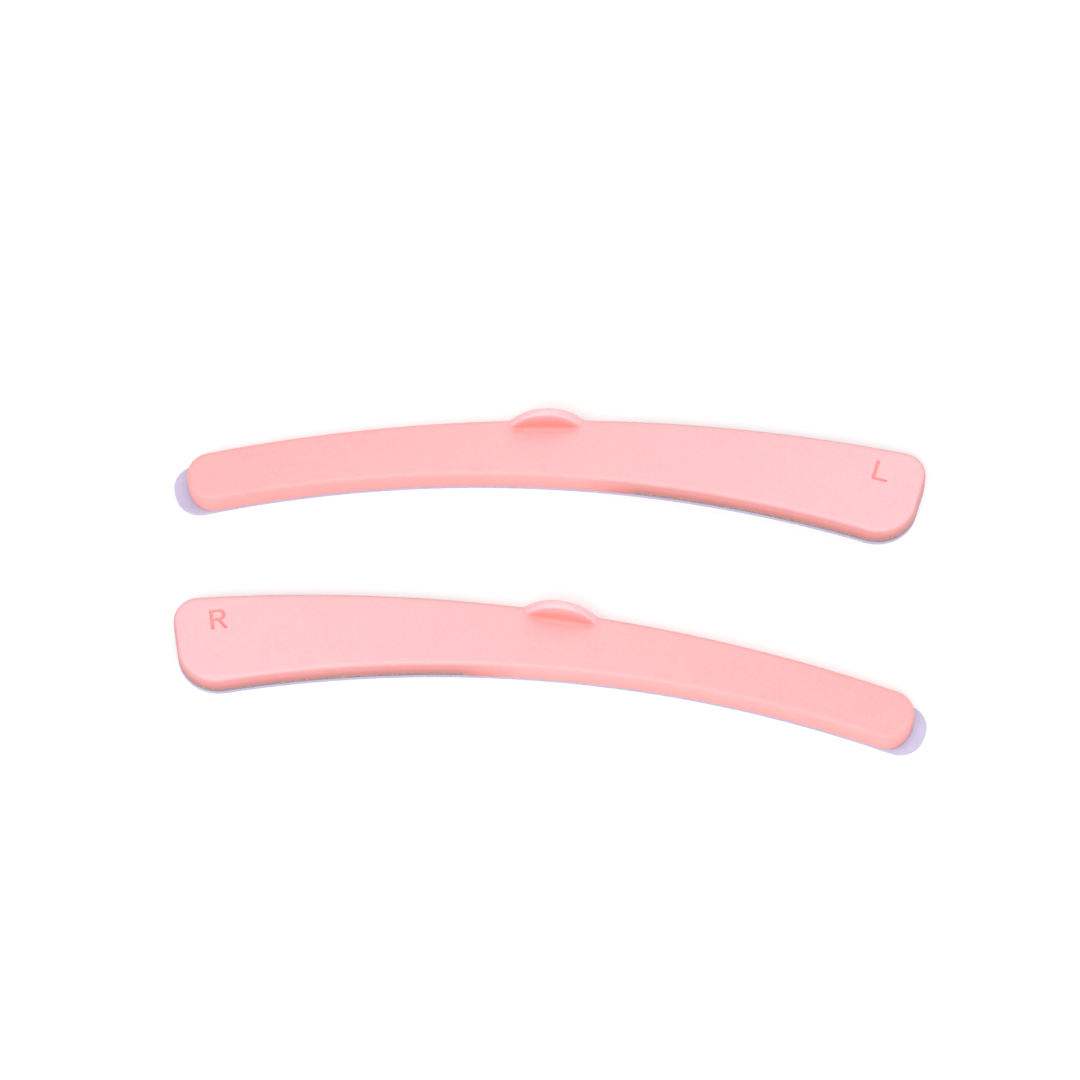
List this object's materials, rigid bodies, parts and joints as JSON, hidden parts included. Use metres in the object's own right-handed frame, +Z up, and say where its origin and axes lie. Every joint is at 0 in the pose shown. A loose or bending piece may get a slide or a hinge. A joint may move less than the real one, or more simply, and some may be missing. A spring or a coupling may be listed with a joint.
{
  "type": "silicone lash curling strip pair",
  "caption": "Left and right arched silicone strips with a half-moon thumb fin, sunk side letter, adhesive patch and clear release film, for curling upper lashes.",
  "frame": {"origin": "middle of the pair's bounding box, on the plane that both strips lie on", "axes": "+X along the strips, towards the left strip's wide end; +Y towards the convex edges that carry the fins; +Z up, out of the lettered faces"},
  "size_m": [0.0366, 0.0176, 0.0027],
  "materials": {
    "pink_silicone": "matt soft silicone with a faint satin sheen, slightly translucent",
    "grey_adhesive": "matt grey-brown tacky layer with a fine speckle",
    "clear_film": "thin milky clear film with a cool lavender cast"
  },
  "bodies": {
    "left_strip": {"left_silicone_strip": "pink_silicone", "left_adhesive_patch": "grey_adhesive", "left_release_film": "clear_film"},
    "right_strip": {"right_silicone_strip": "pink_silicone", "right_adhesive_patch": "grey_adhesive", "right_release_film": "clear_film"}
  },
  "joints": [
    {"name": "right_strip_lift", "type": "slide", "parent": "left_strip", "child": "right_strip", "axis": [0, 0, 1], "range_m": [0, 0.02]}
  ]
}
